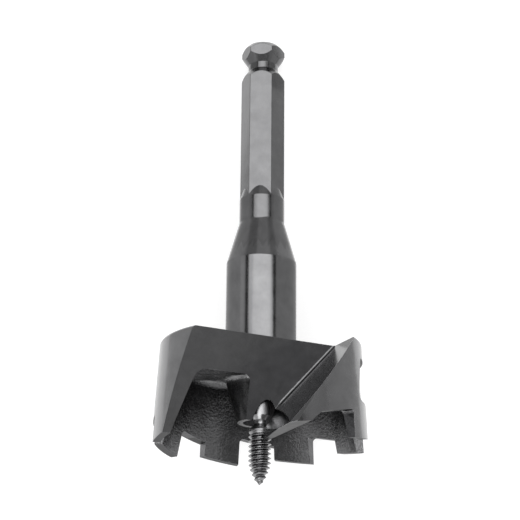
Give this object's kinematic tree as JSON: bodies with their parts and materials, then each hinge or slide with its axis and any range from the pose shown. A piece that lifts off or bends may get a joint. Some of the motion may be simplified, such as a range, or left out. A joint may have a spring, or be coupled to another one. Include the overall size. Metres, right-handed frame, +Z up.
{
  "type": "self-feed drill bit",
  "caption": "Self-feed drill bit with a toothed cup head, a cutting lip at the foot of its chip gullet, a feed screw on its axis and a hexagonal quick-change shank.",
  "frame": {"origin": "middle of the base of the bounding box, with the bit lying on its side: the head's top edge and the shank's end touch the ground", "axes": "+Z up; +X along the bit from the head to the shank, which slopes down by 13.8 degrees; +Y to the shank's left, seen from behind the head"},
  "size_m": [0.1286, 0.0592, 0.0598],
  "materials": {
    "forged_steel": "black oxide, satin; cast texture inside the cup",
    "turned_steel": "turned, lightly darkened",
    "screw_steel": "black oxide"
  },
  "bodies": {
    "root": {"bit_body": "forged_steel", "feed_screw": "turned_steel", "grub_screw": "screw_steel"}
  },
  "joints": []
}
